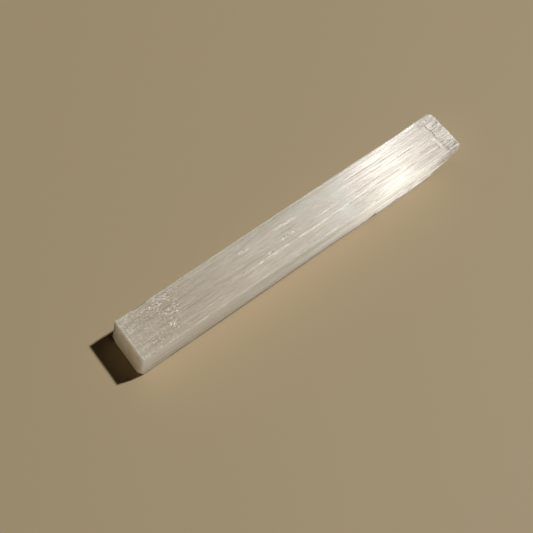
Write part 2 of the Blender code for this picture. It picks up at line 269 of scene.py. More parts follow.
# A bruise whitens a patch of pits: centre, half lengths along and across, tone
Bruise = namedtuple("Bruise", "x across half_x half_across tone")
BRUISES = {
    "top": (
        (-76.9, 8.0, 8.0, 2.4, 0.75), (-73.4, 1.0, 5.0, 3.0, 0.65), (-77.4, -5.7, 2.2, 1.8, 1.00),
        (-88.8, -7.0, 4.0, 1.8, 0.45), (-95.7, 8.0, 3.5, 4.0, 0.45), (-96.9, 10.8, 1.8, 0.9, 1.00),
        (-97.2, -10.6, 1.5, 1.0, 0.70), (-16.7, -3.0, 2.4, 0.7, 1.20), (-6.4, 0.1, 5.5, 1.2, 1.20),
        (-10.0, 10.7, 1.6, 0.8, 2.50), (-9.2, 0.2, 1.2, 0.7, 2.00), (-27.3, 5.4, 3.0, 0.8, 1.00),
        (96.6, 4.2, 1.5, 1.2, 1.00), (97.8, -10.3, 1.6, 1.0, 1.00), (96.8, 9.5, 3.0, 1.6, 0.80),
        (88.8, -3.4, 1.6, 1.2, 0.80), (90.8, 7.6, 1.4, 1.2, 0.90), (92.3, 10.1, 2.4, 1.0, 1.20),
        (99.0, 10.8, 1.2, 1.0, 1.20),
    ),
    "near": (
        # Those at 67.5, 69.0 and 79.1 mm are partly crushed fibres, partly painted highlights
        (-39.2, 9.0, 3.0, 2.0, 0.40), (67.5, 8.6, 3.0, 1.1, 1.00), (69.0, 3.3, 1.2, 1.0, 1.20),
        (79.1, 4.4, 1.4, 1.1, 1.20),
    ),
    "back": (
        (20.4, 8.0, 9.0, 2.5, 0.45), (-51.1, 12.0, 7.0, 2.0, 0.50),
    ),
    "bottom": (
        (-59.0, 3.0, 9.0, 3.0, 0.45), (31.3, -4.0, 12.0, 3.0, 0.45),
    ),
}
# Where the top is bruised all over, towards each end: start, end, share
BRUISED_ENDS = ((91.0, 95.0, 0.35), (-60.0, -90.0, 0.18))

# A wash whitens or darkens a face more and more from start to end: its even and its patchy tone
SAWN_END = -HALF_LENGTH / MM
Wash = namedtuple("Wash", "face start end even patchy")
WASHES = (
    # Whitens the top along the sawn arris: partly crushed fibres, partly a painted highlight on the arris
    Wash("top", SAWN_END + 1.1, SAWN_END + 0.5, 1.1, 0.0),
    Wash("top", -89.0, -97.0, 0.0, 0.5),
    # Painted shade over the near side's far end, where its chipped corner lies in shadow
    Wash("near", 74.0, 90.0, -0.30, -0.6),
    Wash("near", 88.0, 96.0, -0.15, -0.3),
)
PATCH_SIZE = (5 * MM, 0.8 * MM, 0.8 * MM)
PATCH_SEED = 8

CRACK_SHADE = 0.1  # how much painted shade darkens the fibres beside a crack
CRACK_SHADE_EDGE = (0.15, 0.6)  # this far from its middle it begins to fade, and ends
SAWN_TOP_LIGHT = (16.2, 17.2)  # painted light whitens the top of the sawn end between these heights, below its arris
ARRIS_LINE = 0.6  # the upper arrises are whitened this far in: partly worn, crushed fibres, partly painted light that keeps their edges bright
ARRIS_LINE_EVEN, ARRIS_LINE_PATCHY = 0.1, 0.6
BACK_ARRIS_LIGHT = 1.5  # painted light whitens the upper back arris further in, where the glow inside leaves it darker
BACK_ARRIS_LIGHT_TONE = 0.5
CONTACT_SHADOW_RISE = 1.2  # painted contact shadow darkens the near side below this height, where it is undercut
CONTACT_SHADOW_TONE = 2.0

# ---------------------------------------------------------------- the finish, in metres

# The relief that the gloss sees, in mm of height
RIDGE = 0.02
HAIR = 0.032
PIT = 0.08
RIB = 0.25  # of a streak on the sides
FACET = 0.24 * MM  # height of the flakes of crushed fibres
GRAIN_DEPTH = 0.2 * MM  # of the fibre ends
# The sides' fibres lie in shingles this high. Their slope stretches the relief, so the lean grows
SHINGLE = 0.8 * MM
SHINGLE_SLOPE = 3.25
SHINGLE_LENGTHENS = math.hypot(1.0, SHINGLE_SLOPE)
# The fibres lean this much along X, which sets where the band of sheen falls
FIBRE_TILT = 0.0203
# Streaks on top break into steps this long, tilted by their distance from the band of sheen, so
# that they shine as it does
STEP = 1.2 * MM
BAND = 62.0 * MM

GLOSS, SIDE_GLOSS = 0.37, 0.52  # specular levels
ROUGHNESS, SIDE_ROUGHNESS = 0.18, 0.29
UNEVEN = 24.0 * MM  # how far from bundle to bundle a patch's ends differ
CRACK_LINE = (0.18, 0.08)  # a crack's dark line fades in between these distances from it, in mm
CRACK_STRAY = 1.0 * MM  # how far it strays from its sine wave
MINERAL_IOR = 1.52
GLOW_REACH = (1.0, 0.97, 0.92)  # how far red, green and blue spread, as shares of the glow radius
GLOW_FORWARD = 0.3  # above 0, light goes on more than it turns back
END_GLOW_RADIUS = 14.0 * MM


# ---------------------------------------------------------------- settings

def number(name, description, default, **unit):
    """A number, with its unit where one fits."""
    return bpy.props.FloatProperty(name=name, description=description, default=default, **unit)


def triple(name, description, default, **kind):
    """A place, a direction or a colour."""
    return bpy.props.FloatVectorProperty(
        name=name, description=description, default=default, size=3, **kind)


def cells(name, description, default, least):
    """A number of cells."""
    return bpy.props.IntProperty(name=name, description=description, default=default, min=least)


length = partial(number, unit="LENGTH")
angle = partial(number, subtype="ANGLE")
spot = partial(triple, subtype="XYZ")
tint = partial(triple, subtype="COLOR", min=0, max=1)


class CrystalForm(bpy.types.PropertyGroup):
    """The fineness of the crystal's surface."""

    cells_along: cells("Cells Along", "Lattice cells along the fibres", 262, 20)
    cells_across: cells("Cells Across", "Lattice cells across the width", 96, 12)
    cells_high: cells("Cells High", "Lattice cells up the height", 66, 12)
    bundle_step: length("Bundle Step", "The most that a fibre bundle lies below its face", 0.30 * MM)
    fibre_step: length("Fibre Step", "The most that a single fibre lies below its bundle", 0.02 * MM)
    swell: length("Swell", "Slow unevenness of the split faces", 0.10 * MM)
    arris_wear: length("Arris Wear", "How far the arrises are worn back", 0.14 * MM)
    nibble: length("Nibble", "Depth of the small bites along the arrises", 0.40 * MM)
    broken_step: length("Broken Step", "How far apart the fibre ends stand at the broken end", 1.1 * MM)


class SatinFinish(bpy.types.PropertyGroup):
    """The colour and sheen of satin spar."""

    pale: tint("Pale Fibres", "Colour of the milky fibres", (0.97, 0.885, 0.775))
    deep: tint("Deep Fibres", "Colour of the clearer fibres between them", (0.72, 0.645, 0.54))
    side_pale: tint("Pale Side Fibres", "Colour of the milky fibres on the sides", (1.0, 0.88, 0.745))
    side_deep: tint(
        "Deep Side Fibres", "Colour of the clearer fibres on the sides", (0.68, 0.578, 0.44))
    warm: tint("Warm End", "Stain near the sawn end", (0.66, 0.575, 0.445))
    cloud: tint("Cloud", "Colour of the milky patch across the top", (1.0, 0.94, 0.85))
    # Painted light: lightens the top towards the back arris, where the glow inside leaves it darker
    back_edge_light: tint(
        "Back Edge", "Colour of the top where it thins towards the back", (1.0, 0.875, 0.68))
    # Also the painted shade in the grooves and cracks of the top
    split: tint("Splits", "Colour of the depths of cracks and grooves", (0.30, 0.25, 0.19))
    # Mostly painted shade: the contact shadow along the near foot and the shade over the near side's far
    # end, besides dark streaks and splits
    side_depths_and_shade: tint("Side Splits", "Colour of the depths on the sides", (0.30, 0.22, 0.12))
    frost: tint("Frost", "Colour of bruised and crushed fibres", (0.98, 0.90, 0.77))
    end_frost: tint("End Frost", "Colour of crushed fibres near the broken end", (0.98, 0.92, 0.83))
    # Partly painted light: crushed powder along the back arris, darker towards the sawn end
    back_rim_frost_and_light: tint("Rim", "Colour of the crushed back arris towards the sawn end", (0.74, 0.64, 0.49))
    # Painted light that brightens the sawn end low down, where it lies in shade
    foot_light: tint("Foot", "Colour low down on the sawn end", (1.0, 0.85, 0.58))
    sheen: tint("Sheen", "Tint of the sheen on the top", (1.0, 0.956, 0.915))
    side_sheen: tint("Side Sheen", "Tint of the sheen on the sides", (1.0, 0.955, 0.885))
    glow_radius: length("Glow Radius", "How far light spreads inside", 7.0 * MM)


class StudioSetup(bpy.types.PropertyGroup):
    """The floor, the lamps and the camera."""

    floor_colour: tint("Floor", "Colour of the plain floor", (0.53, 0.415, 0.248))
    floor_size: length("Floor Size", "From the middle of the floor to its edge", 3.0)
    floor_drop: length("Floor Drop", "How far the floor lies below the underside", 0.05 * MM)
    floor_roughness: number("Floor Roughness", "0 is polished and 1 is matt", 0.65)
    key_azimuth: angle(
        "Key Azimuth", "Direction of the key lamp, from +X towards +Y", math.radians(-15.9))
    key_elevation: angle("Key Elevation", "Height of the key lamp above the floor", math.radians(56.6))
    key_distance: length("Key Distance", "From the origin to the key lamp", 8.0)
    key_size: length("Key Size", "Diameter of the key lamp", 0.48)
    key_power: number("Key Power", "Power of the key lamp in watts", 458.0)
    key_colour: tint("Key Colour", "Colour of the key lamp", (1.0, 0.99, 0.97))
    fill_direction: spot(
        "Fill Direction", "From the origin towards the low fill lamp", (-0.66, -0.74, 0.012))
    fill_distance: length("Fill Distance", "From the origin to the fill lamp", 1.3)
    fill_width: length("Fill Width", "Width of the fill lamp", 1.0)
    fill_height: length("Fill Height", "Height of the fill lamp", 0.02)
    fill_power: number("Fill Power", "Power of the fill lamp in watts", 3.45)
    fill_colour: tint("Fill Colour", "Colour of the fill lamp", (1.0, 0.86, 0.66))
    air_strength: number("Air Strength", "Strength of the surrounding soft light", 0.006)
    air_colour: tint("Air Colour", "Colour of the surrounding soft light", (1.0, 0.98, 0.95))
    camera_azimuth: angle("Camera Azimuth", "0 looks along +Y", -0.93560)
    camera_elevation: angle("Camera Elevation", "Above the floor", 1.08306)
    camera_roll: angle("Camera Roll", "Turn about the line of sight", 0.27732)
    camera_distance: length("Camera Distance", "From the point looked at", 0.58539)
    camera_lens: number("Camera Lens", "Focal length in millimetres", 81.68)
    looked_at: spot("Looked At", "The point that the camera looks at", (-17.02 * MM, -1.68 * MM, 0.0))


# ---------------------------------------------------------------- the crystal's shape

def borders(low, high, count, fixed):
    """Where bundles meet across a face: the fixed places, with the widest gaps split at uneven shares."""
    draw = random.Random(FORM_SEED + count)
    places = sorted([low + ARRIS_MARGIN, high - ARRIS_MARGIN, *fixed])
    while len(places) < count:
        widths = [b - a for a, b in zip(places, places[1:])]
        widest = widths.index(max(widths))
        share = draw.uniform(*GAP_SHARES)
        places.insert(widest + 1, places[widest] + share * widths[widest])
    return places


def ledge_edges(faces, low, high):
    """Where the ledges of those faces begin and end across them."""
    edges = {edge for ledge in LEDGES if ledge.face in faces for edge in (ledge.low, ledge.high)}
    return {edge for edge in edges if low < edge < high}


def ramp(value, start, end):
    """0 at start, 1 at end, straight between and level beyond."""
    return np.clip((value - start) / (end - start), 0.0, 1.0)


def inside(value, start, end, soft):
    """1 from start to end, fading out over soft beyond each."""
    return ramp(value, start - soft, start) * (1.0 - ramp(value, end, end + soft))


def grain(points, size, seed):
    """Perlin noise, 0 to 1, at each row of points, with cells of that size."""
    scaled = np.asarray(points) / np.asarray(size) + seed * SEED_SHIFT
    return np.fromiter((noise.noise(Vector(p)) for p in scaled), float, len(scaled)) * 0.5 + 0.5


def flat_points(first, second):
    """Points in a plane, from two coordinates."""
    return np.stack([first, second, np.zeros(len(first))], axis=1)


def crack_bend(across):
    """How far a crack winds from its place, at that distance across."""
    return CRACK_BEND * np.sin(across / CRACK_WAVE)


def long_faces(points):
    """Which points of the lattice lie on each long face."""
    y, z = points[:, 1], points[:, 2]
    return {
        "top": z > HEIGHT - TINY, "bottom": z < TINY,
        "near": y < -HALF_WIDTH + TINY, "back": y > HALF_WIDTH - TINY,
    }


def crowd(values, low, high, centres, width, strength):
    """Evenly spaced values, drawn together near the centres."""
    fine = np.linspace(low, high, CROWD_SAMPLES)
    density = np.ones(len(fine))
    for centre in centres:
        density += strength * np.exp(-(((fine - centre) / width) ** 2))
    total = np.cumsum(density)
    total = (total - total[0]) / (total[-1] - total[0])
    return np.interp((values - low) / (high - low), total, fine)


def all_streaks():
    """The streaks of the table and the random ones, each with its face."""
    draw = random.Random(MARK_SEED)
    streaks = [(face, Streak(*row)) for face, rows in STREAKS.items() for row in rows]
    for face, (low, high) in SPANS.items():
        for _ in range(RANDOM_STREAKS):
            start = draw.uniform(*RANDOM_STARTS)
            across = low / MM + draw.random() * (high - low) / MM
            tone = draw.choice(RANDOM_TONES)
            end = start + draw.uniform(*RANDOM_LENGTHS)
            streaks.append((face, Streak(start, end, across, RANDOM_WIDTH, tone)))
    return streaks


class Bundles:
    """The fibre bundles of one face: how deep each lies along X, with ends that run out slantwise."""

    def __init__(self, name, places, step, taper, flat=(), most_breaks=BUNDLE_BREAKS):
        draw = random.Random(f"{name}{FORM_SEED}")
        slants = random.Random(f"{name}{FORM_SEED} slants")
        self.places = np.array(places)
        self.edges = [places[0] - OUTER_BUNDLE, *places, places[-1] + OUTER_BUNDLE]
        self.breaks = []
        self.depths = []
        self.slants = []
        for k in range(len(places) + 1):
            count = draw.randint(1, most_breaks)
            breaks = sorted(draw.uniform(-BREAK_REACH, BREAK_REACH) * LENGTH for _ in range(count))
            depths = [step * draw.random() ** DEPTH_SKEW for _ in range(count + 1)]
            self.breaks.append(breaks)
            self.depths.append([0.0] * len(depths) if k in flat else depths)
            self.slants.append(slants.uniform(-1.0, 1.0) * taper)

    def depth(self, x, across, slope):
        """The depth at each point. A bundle's own step along X takes slope metres."""
        index = np.searchsorted(self.places, across)
        result = np.zeros(len(x))
        for k, breaks in enumerate(self.breaks):
            here = index == k
            if not here.any():
                continue
            low, high = self.edges[k], self.edges[k + 1]
            share = (across[here] - low) / max(high - low, TINY) - 0.5
            place = x[here] + self.slants[k] * share
            depth = np.full(here.sum(), self.depths[k][0])
            for at, before, after in zip(breaks, self.depths[k], self.depths[k][1:]):
                depth += (after - before) * ramp(place, at - slope / 2, at + slope / 2)
            result[here] = depth
        return result


class Crystal:
    """The crystal's lattice, and where each of its points goes."""

    def __init__(self, form):
        self.form = form
        grooves = {groove.across for groove in GROOVES}
        fixed_across = grooves | ledge_edges(("top", "bottom"), -HALF_WIDTH, HALF_WIDTH)
        fixed_high = ledge_edges(("near", "back"), 0.0, HEIGHT)
        self.across = borders(-HALF_WIDTH, HALF_WIDTH, BORDERS_ACROSS, fixed_across)
        self.high = borders(0.0, HEIGHT, BORDERS_HIGH, fixed_high)
        middle = sum(0.0 > place for place in self.across)
        # The bundles of the underside that the blade rests on stay flat
        resting = (1, 2, middle, len(self.across) - 2, len(self.across) - 1)
        self.bundles = {}
        for face, share in BUNDLE_SHARES.items():
            places = self.across if face in ("top", "bottom") else self.high
            flat = resting if face == "bottom" else ()
            step = share * form.bundle_step
            self.bundles[face] = Bundles(face, places, step, BUNDLE_TAPERS[face], flat)
        self.fibres = {face: self.fine_fibres(face, *SPANS[face]) for face in SWELL_SEEDS}

    def fine_fibres(self, face, low, high):
        """Single fibres from one arris to the other."""
        draw = random.Random(f"{face} fibres")
        places = [low + FIBRE_MARGIN]
        while places[-1] < high - 2 * FIBRE_MARGIN:
            places.append(places[-1] + draw.uniform(*FIBRE_WIDTHS) * MM)
        step = self.form.fibre_step
        return Bundles(face + " fibres", places, step, FIBRE_TAPER, most_breaks=FIBRE_BREAKS)

    def lattice(self):
        """A box cut into cells."""
        bm = bmesh.new()
        bmesh.ops.create_cube(bm, size=1.0)
        bmesh.ops.scale(bm, vec=(LENGTH, WIDTH, HEIGHT), verts=bm.verts)
        bmesh.ops.translate(bm, vec=(0, 0, HEIGHT / 2), verts=bm.verts)
        form = self.form
        for axis, cells in enumerate((form.cells_along, form.cells_across, form.cells_high)):
            along = [e for e in bm.edges if abs((e.verts[0].co - e.verts[1].co)[axis]) > TINY]
            bmesh.ops.subdivide_edges(bm, edges=along, cuts=cells - 1, use_grid_fill=True)
        return bm

    def spread(self, points):
        """The lattice's points with more of its lines at the risers and near the ends."""
        x, y, z = points.T
        ends = (-HALF_LENGTH, HALF_LENGTH)
        across = [-HALF_WIDTH, *self.across, HALF_WIDTH]
        high = [0.0, *self.high, HEIGHT]
        return np.stack([
            crowd(x, -HALF_LENGTH, HALF_LENGTH, ends, *END_CROWD),
            crowd(y, -HALF_WIDTH, HALF_WIDTH, across, *RISER_CROWD),
            crowd(z, 0.0, HEIGHT, high, *RISER_CROWD)], axis=1)

    def side_depth(self, face, x, across):
        """How far the points of a long face lie inside the full box."""
        depth = self.bundles[face].depth(x, across, BUNDLE_SLOPES[face])
        if face in self.fibres:
            swell = grain(flat_points(x, across), SWELL_SIZE, SWELL_SEEDS[face])
            depth += self.form.swell * swell
            depth += self.fibres[face].depth(x, across, FIBRE_SLOPE)
        for ledge in LEDGES:
            if ledge.face == face:
                last = ledge.end > HALF_LENGTH - TINY
                run_out, share = LAST_LEDGE_END if last else LEDGE_ENDS[face]
                along = inside(x, ledge.start, ledge.end, run_out)
                over = inside(across, ledge.low, ledge.high, RISER / 2)
                depth += share * ledge.depth * along * over
        for groove in GROOVES:
            if groove.face == face:
                along = inside(x, groove.start, groove.end, GROOVE_FADE)
                off = np.abs(across - groove.across)
                share = TOP_GROOVE_SHARE if face == "top" else 1.0
                walls = 1.0 - ramp(off, 0.0, RISER / 2 + GROOVE_LIP)
                depth += share * groove.depth * along * walls
        if face == "top":
            for crack in CRACKS:
                off = np.abs(x - crack.place - crack_bend(across))
                over = inside(across, crack.low, crack.high, CRACK_LIP)
                walls = 1.0 - ramp(off, CRACK_FLOOR, CRACK_LIP)
                depth += CRACK_SHARE * crack.depth * over * walls
        return depth

    def end_depth(self, step, points, seed):
        """How far the fibre ends lie inside the full box."""
        y, z = points[:, 1], points[:, 2]
        width, height = FIBRE_END
        column = np.searchsorted(np.array(self.across), y)
        bundle = column * BUNDLE_ROWS + np.searchsorted(np.array(self.high), z)
        row = np.floor(z / height + np.sin(y / END_WAVE))
        fibre = np.floor(y / width) * FIBRE_ROWS + row
        depth = END_SWELL * grain(flat_points(y, z), END_SWELL_SIZE, seed)
        for share, keys in zip(END_SHARES, (column, bundle, fibre)):
            draw = {k: random.Random(f"{seed} {k}").random() ** END_SKEW for k in np.unique(keys)}
            depth += share * np.array([draw[k] for k in keys])
        return step * depth

    def wear(self, x, on_top, on_near):
        """How far an arris is worn in, across and up or down, along X."""
        flat = np.stack([x, np.full(len(x), 5.0 * on_top), np.full(len(x), 3.0 * on_near)], axis=1)
        slow = grain(flat, SLOW_WEAR, 1)
        if not on_top and not on_near:
            amount = FOOT_WEAR * (FOOT_LEAST + FOOT_MORE * slow)
            return amount, FOOT_RISE * amount
        amount = self.form.arris_wear * (WEAR_LEAST + WEAR_MORE * slow) * (TOP_WEAR if on_top else 1.0)
        bites = np.clip(grain(flat, FAST_WEAR, 2) - NIBBLE_ABOVE, 0.0, 1.0) * NIBBLE_GAIN
        amount += self.form.nibble * bites
        if on_top:
            return amount, amount
        undercut = ramp(x, UNDERCUT_START - UNDERCUT_FADE, UNDERCUT_START + UNDERCUT_FADE)
        return amount + undercut * UNDERCUT_IN, amount + undercut * UNDERCUT_UP

    def place(self, points):
        """Where the lattice's points go."""
        x, y, z = points.T
        faces = long_faces(points)
        new = points.copy()
        for face, axis, inwards, across in (
                ("top", 2, -1, y), ("bottom", 2, 1, y), ("near", 1, 1, z), ("back", 1, -1, z)):
            on = faces[face]
            new[on, axis] += inwards * self.side_depth(face, x[on], across[on])
        self.wear_arrises(new, points, faces)
        self.shape_ends(new, points)
        self.round_sawn_arris(new, points, faces["top"])
        for chip in CHIPS:
            self.chip_off(new, chip)
        low, high = new.min(axis=0), new.max(axis=0)
        return (new - low) / (high - low) * (LENGTH, WIDTH, HEIGHT) + np.array(CAD_LOW)

    def wear_arrises(self, new, points, faces):
        """Wears back the four long arrises."""
        x, y, z = points.T
        for on_top in (True, False):
            for on_near in (True, False):
                amount, rise = self.wear(x, on_top, on_near)
                reach = ARRIS_REACH if on_top or on_near else FOOT_REACH
                level = faces["top" if on_top else "bottom"]
                side = faces["near" if on_near else "back"]
                off_side = y + HALF_WIDTH if on_near else HALF_WIDTH - y
                off_level = HEIGHT - z if on_top else z
                bend_level = np.clip(1.0 - off_side / reach, 0.0, 1.0) ** ARRIS_CURVE
                bend_side = np.clip(1.0 - off_level / reach, 0.0, 1.0) ** ARRIS_CURVE
                new[:, 2] += np.where(level, bend_level * rise, 0.0) * (-1 if on_top else 1)
                new[:, 1] += np.where(side, bend_side * amount, 0.0) * (1 if on_near else -1)

    def shape_ends(self, new, points):
        """Sets the fibre ends back by different amounts, and turns both ends from square."""
        x, y, z = points.T
        from_sawn = x + HALF_LENGTH
        from_broken = HALF_LENGTH - x
        sawn = self.end_depth(SAWN_STEP, points, SAWN_SEED) * (1.0 - ramp(from_sawn, 0, END_MARGIN))
        broken = self.end_depth(self.form.broken_step, points, BROKEN_SEED)
        broken *= 1.0 - ramp(from_broken, 0, END_MARGIN)
        turned = math.tan(SAWN_SLANT) * (HALF_WIDTH + y) + SAWN_LEAN * z / HEIGHT
        sawn += turned * (1 - ramp(from_sawn, 0, SLANT_REACH))
        turned = math.tan(BROKEN_SLANT) * (HALF_WIDTH - y)
        broken += turned * (1 - ramp(from_broken, 0, SLANT_REACH))
        new[:, 0] += sawn - broken

    def round_sawn_arris(self, new, points, on_top):
        """Bends the two faces beside the sawn end's top arris onto a quarter circle."""
        from_sawn = points[:, 0] + HALF_LENGTH
        from_top = HEIGHT - points[:, 2]
        half = math.sin(math.radians(45))
        level = np.where(on_top, half * (1.0 - ramp(from_sawn, 0.0, END_ROUND)), 0.0)
        upright = np.where(from_sawn < TINY, half * (1.0 - ramp(from_top, 0.0, END_ROUND)), 0.0)
        slide = 1.0 / half - 1.0
        new[:, 2] -= END_ROUND * np.maximum(1.0 - np.sqrt(1.0 - level**2), slide * upright)
        new[:, 0] += END_ROUND * np.maximum(1.0 - np.sqrt(1.0 - upright**2), slide * level)

    def chip_off(self, new, chip):
        """Brings the points outside the chip's face back onto it."""
        outward = Vector(chip.outward).normalized()
        across = outward.cross(Vector((1, 0, 0))).normalized()
        along = across.cross(outward)
        offset = (new - np.array(chip.point) * MM) / MM
        height = offset @ np.array(outward)
        u = offset @ np.array(along)
        where = np.nonzero((height > -CHIP_DEPTH) & (np.abs(u) < chip.length / 2))[0]
        height, u, v = height[where], u[where], (offset @ np.array(across))[where]
        spots = flat_points(u * CHIP_GRAIN[0], v * CHIP_GRAIN[1])
        level = chip.rough * (grain(spots + np.array(chip.point), (1, 1, 1), 0) * 2 - 1)
        level += FINER_SHARE * chip.rough * (grain(spots * FINER_GRAIN, (1, 1, 1), 4) * 2 - 1)
        level += chip.lift * (2 * u / chip.length) ** 4
        over = np.maximum(height - level, 0.0) * MM
        new[where] -= over[:, None] * np.array(outward)

    def marks(self, points):
        """How whitened (above 0) or darkened (below 0) each point is by streaks, washes and arris lines,
        some of them painted light and shade, and how bruised.
        """
        x, y, z = points.T / MM
        faces = long_faces(points)
        places = {"top": y, "bottom": y, "near": z, "back": z}
        patchy = grain(points, PATCH_SIZE, PATCH_SEED)
        tone = np.zeros(len(points))
        bruised = np.zeros(len(points))
        for face, streak in all_streaks():
            along = inside(x, streak.start, streak.end, STREAK_FADE)
            over = np.exp(-(((places[face] - streak.across) / streak.width) ** 2))
            tone += faces[face] * streak.tone * along * over * (STREAK_LEAST + patchy)
        for face, rows in BRUISES.items():
            for bruise in (Bruise(*row) for row in rows):
                along = (x - bruise.x) / bruise.half_x
                over = (places[face] - bruise.across) / bruise.half_across
                bruised += faces[face] * bruise.tone * np.exp(-(along**2) - over**2)
        for start, end, share in BRUISED_ENDS:
            bruised += faces["top"] * share * ramp(x, start, end)
        for wash in WASHES:
            amount = wash.even + wash.patchy * patchy
            tone += faces[wash.face] * amount * ramp(x, wash.start, wash.end)
        for crack in CRACKS:
            off = np.abs(points[:, 0] - crack.place - crack_bend(points[:, 1])) / MM
            over = inside(points[:, 1], crack.low, crack.high, CRACK_LIP)
            tone -= faces["top"] * CRACK_SHADE * over * (1.0 - ramp(off, *CRACK_SHADE_EDGE))
        # Painted light along the top of the sawn end
        tone += (points[:, 0] < TINY - HALF_LENGTH) * ramp(z, *SAWN_TOP_LIGHT)
        tone += self.arris_lines(points, faces, patchy)
        # Painted contact shadow along the foot of the near side, from where it is undercut
        undercut = faces["near"] & (points[:, 0] > UNDERCUT_START)
        tone -= undercut * CONTACT_SHADOW_TONE * np.clip(1.0 - z / CONTACT_SHADOW_RISE, 0.0, 1.0)
        return np.clip(tone, -1.0, 1.0), np.clip(bruised, 0.0, 1.0)

    def arris_lines(self, points, faces, patchy):
        """How whitened the points are along the upper arrises: partly by wear, partly by painted light,
        most of all at the back.
        """
        y, z = points[:, 1], points[:, 2]
        down_back = np.where(faces["back"], HEIGHT - z, LENGTH)
        down_near = np.where(faces["near"], HEIGHT - z, LENGTH)
        off_back = np.where(faces["top"], HALF_WIDTH - y, down_back) / MM
        off_near = np.where(faces["top"], HALF_WIDTH + y, down_near) / MM
        off_arris = np.minimum(off_back, off_near)
        line = ARRIS_LINE_EVEN + ARRIS_LINE_PATCHY * patchy
        line *= np.clip(1.0 - off_arris / ARRIS_LINE, 0.0, 1.0)
        return line + BACK_ARRIS_LIGHT_TONE * np.clip(1.0 - off_back / BACK_ARRIS_LIGHT, 0.0, 1.0)

    def mesh(self):
        bm = self.lattice()
        mesh = bpy.data.meshes.new("selenite_crystal")
        bm.to_mesh(mesh)
        bm.free()
        points = np.empty(len(mesh.vertices) * 3)
        mesh.vertices.foreach_get("co", points)
        points = self.spread(points.reshape(-1, 3))
        for name, values in zip(("tone", "bruise"), self.marks(points)):
            mesh.attributes.new(name, "FLOAT", "POINT").data.foreach_set("value", values)
        mesh.vertices.foreach_set("co", self.place(points).ravel())
        mesh.update()
        return mesh


# ---------------------------------------------------------------- materials

class Value:
    """A value in a node tree. Python's operators on it add Math nodes."""

    def __init__(self, tree, socket):
        self.tree = tree
        self.socket = socket

    def maths(self, operation, *others):
        inputs = dict(enumerate((self, *others)))
        return self.tree.node("ShaderNodeMath", {"operation": operation}, inputs)

    def __add__(self, other):
        return self.maths("ADD", other)

    __radd__ = __add__

    def __sub__(self, other):
        return self.maths("SUBTRACT", other)

    def __rsub__(self, other):
        return (self * -1.0) + other

    def __mul__(self, other):
        return self.maths("MULTIPLY", other)

    __rmul__ = __mul__

    def __truediv__(self, other):
        return self.maths("DIVIDE", other)

    def __pow__(self, other):
        return self.maths("POWER", other)

    def clamped(self, low=0.0, high=1.0):
        return self.maths("MAXIMUM", low).maths("MINIMUM", high)

    def ramp(self, start, end):
        """0 at start, 1 at end, straight between and level beyond."""
        return ((self - start) / (end - start)).clamped()

    def fade(self, start, end):
        """The same for a length, with start and end in mm."""
        return self.ramp(start * MM, end * MM)

    def band(self, start, low, high, end):
        """1 from low to high, fading out to start and to end, all in mm."""
        return self.fade(start, low) * self.fade(end, high)


class Tree:
    """A material's node tree, with one way of adding a node."""

    def __init__(self, name):
        self.material = bpy.data.materials.new(name)
        self.material.use_nodes = True
        self.nodes = self.material.node_tree.nodes
        self.links = self.material.node_tree.links
        self.nodes.clear()

    def node(self, kind, settings=None, inputs=None, output=0):
        """Adds a node: its settings first, then the values or links of its sockets."""
        made = self.nodes.new(kind)
        for name, value in (settings or {}).items():
            setattr(made, name, value)
        for key, value in (inputs or {}).items():
            socket = made.inputs[key]
            if isinstance(value, Value):
                self.links.new(value.socket, socket)
            else:
                socket.default_value = (*value, 1.0) if socket.type == "RGBA" else value
        return Value(self, made.outputs[output]) if made.outputs else None

    def mix(self, factor, first, second):
        """A blend of two colours, whose sockets on a Mix node are 6 and 7, and 2 for the result."""
        inputs = {0: factor, 6: first, 7: second}
        return self.node("ShaderNodeMix", {"data_type": "RGBA"}, inputs, 2)

    def attribute(self, name):
        return self.node("ShaderNodeAttribute", {"attribute_name": name}, output="Fac")

    def place(self, axis):
        """The distance along one of the object's axes, in metres."""
        where = self.node("ShaderNodeTexCoord", output="Object")
        return self.node("ShaderNodeSeparateXYZ", {}, {0: where}, axis)

    def stretched(self, scale, detail, roughness, place=(0, 0, 0)):
        """Noise in object space with that many cells a metre along X, Y and Z."""
        where = self.node("ShaderNodeTexCoord", output="Object")
        mapped = self.node(
            "ShaderNodeMapping", {"vector_type": "POINT"},
            {"Vector": where, "Scale": scale, "Location": place})
        inputs = {"Vector": mapped, "Scale": 1.0, "Detail": detail, "Roughness": roughness}
        return self.node("ShaderNodeTexNoise", {}, inputs, "Fac")

    def plain(self, base, roughness, level, normal=None):
        """A surface with no depth: its colour, roughness and specular level."""
        inputs = {"Base Color": base, "Roughness": roughness, "Specular IOR Level": level}
        if normal:
            inputs["Normal"] = normal
        return self.node("ShaderNodeBsdfPrincipled", {}, inputs)

    def blend(self, share, first, second):
        """The finished material: the first shader, and by that share the second."""
        mixed = self.node("ShaderNodeMixShader", {}, {0: share, 1: first, 2: second})
        return self.finish(mixed)

    def finish(self, shader):
        """The finished material, with that shader on its surface."""
        self.node("ShaderNodeOutputMaterial", {}, {"Surface": shader})
        return self.material


def milky(tree, glow_radius, inputs):
    """The shader that both finishes share: light that spreads far inside, under a thin gloss."""
    shared = {
        "Subsurface Weight": 1.0,
        "Subsurface Radius": GLOW_REACH,
        "Subsurface Scale": glow_radius,
        "Subsurface Anisotropy": GLOW_FORWARD,
        "IOR": MINERAL_IOR,
    }
    settings = {"subsurface_method": "RANDOM_WALK"}
    return tree.node("ShaderNodeBsdfPrincipled", settings, {**shared, **inputs})


